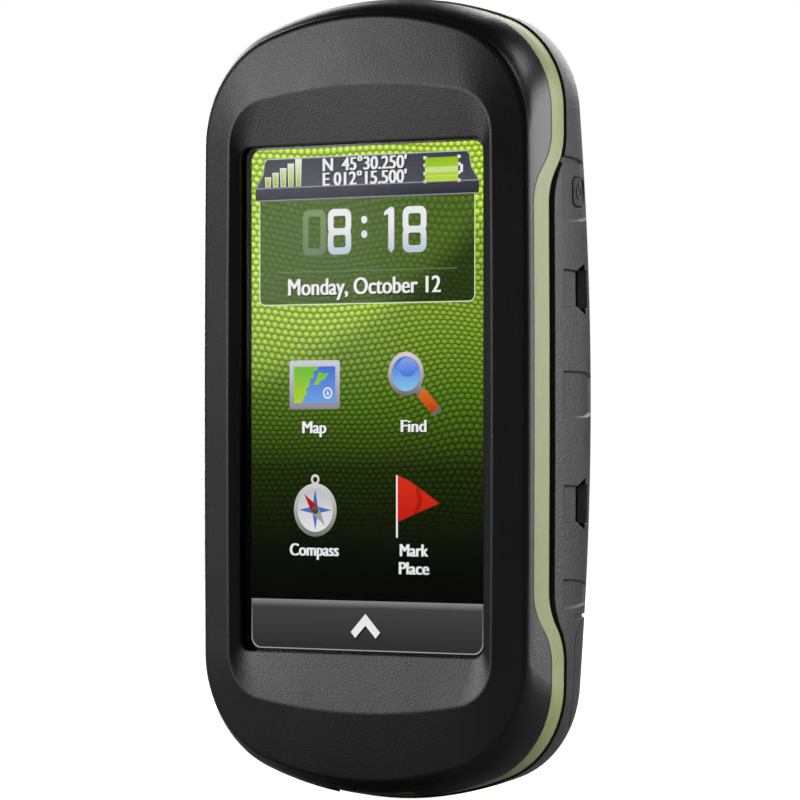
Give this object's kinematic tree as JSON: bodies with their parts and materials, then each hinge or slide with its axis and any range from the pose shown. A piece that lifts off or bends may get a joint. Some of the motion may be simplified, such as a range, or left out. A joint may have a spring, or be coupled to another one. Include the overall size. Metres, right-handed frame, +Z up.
{
  "type": "handheld gps unit",
  "caption": "Rugged handheld satellite navigator with a touch display, olive trim band, ring-latched battery cover, sprung power key and hinged weather caps.",
  "frame": {"origin": "middle of the whole unit", "axes": "+X to the right of a person looking at the display, +Y out of the back, +Z up along the display's long side"},
  "size_m": [0.0748, 0.0364, 0.1442],
  "materials": {
    "black_front": "fine moulded grain",
    "black_back": "moulded grain",
    "olive": "satin, painted",
    "black_rubber": "matte",
    "foam": "foam",
    "window_glass": "polished, black border printed behind",
    "display": "lit display",
    "flex": "polyimide",
    "light_alloy": "as cast",
    "board_green": "solder mask",
    "tin_plate": "tin plated",
    "ceramic": "fired",
    "chip_black": "moulded",
    "steel": "stainless",
    "membrane": "expanded film",
    "pack_wrap": "shrink film",
    "gold": "gold flash",
    "cable_jacket": "jacket"
  },
  "bodies": {
    "unit": {"front_housing": "black_front", "window_gasket": "black_rubber", "display_window": "window_glass", "display_panel": "display", "display_flex": "flex", "chassis": "light_alloy", "trim_band": "olive", "housing_seal": "black_rubber", "rear_housing": "black_back", "cover_seal": "black_rubber", "usb_connector": "tin_plate", "audio_jack": "chip_black", "aerial_connector": "gold", "aerial_lead": "cable_jacket", "power_switch": "chip_black", "switch_bracket": "steel", "main_board": "board_green", "radio_shield": "tin_plate", "processor_shield": "tin_plate", "patch_antenna": "ceramic", "pressure_sensor": "tin_plate", "compass_sensor": "chip_black", "backup_cell": "steel", "speaker": "chip_black", "speaker_gasket": "foam", "vent_membrane": "membrane", "battery_pack": "pack_wrap", "card_board": "board_green", "board_connector": "chip_black", "card_socket": "tin_plate", "memory_card": "chip_black", "housing_screws": "steel", "board_screws": "steel", "cradle_contacts": "gold", "battery_contacts": "gold", "cell_contacts": "tin_plate"},
    "cover": {"battery_cover": "black_back"},
    "latch": {"latch_spindle": "steel", "latch_clip": "steel"},
    "ring": {"latch_ring": "steel"},
    "key": {"power_key": "black_rubber"},
    "usb_flap": {"usb_cap": "black_rubber"},
    "jack_flap": {"jack_cap": "black_rubber"},
    "aerial_flap": {"aerial_cap": "black_rubber"}
  },
  "joints": [
    {"name": "power_key_press", "type": "slide", "parent": "unit", "child": "key", "axis": [-1, 0, 0], "range_m": [0, 0.0005], "stiffness_N_per_m": 2500},
    {"name": "battery_cover_lift", "type": "slide", "parent": "unit", "child": "cover", "axis": [0, 1, 0], "range_m": [0, 0.03]},
    {"name": "latch_turn", "type": "hinge", "parent": "cover", "child": "latch", "pos_m": [0, 0.0152, -0.0455], "axis": [0, 1, 0], "range_deg": [0, 90]},
    {"name": "ring_fold", "type": "hinge", "parent": "latch", "child": "ring", "pos_m": [0, 0.01655, -0.0437], "axis": [1, 0, 0], "range_deg": [0, 100]},
    {"name": "usb_cap_open", "type": "hinge", "parent": "unit", "child": "usb_flap", "pos_m": [-0.0365, -0.0057, 0.00565], "axis": [0, 1, 0], "range_deg": [0, 90]},
    {"name": "jack_cap_open", "type": "hinge", "parent": "unit", "child": "jack_flap", "pos_m": [-0.0365, -0.0057, 0.03705], "axis": [0, 1, 0], "range_deg": [0, 90]},
    {"name": "aerial_cap_open", "type": "hinge", "parent": "unit", "child": "aerial_flap", "pos_m": [-0.0115, 0.01745, 0.04765], "axis": [1, 0, 0], "range_deg": [0, 90]}
  ]
}
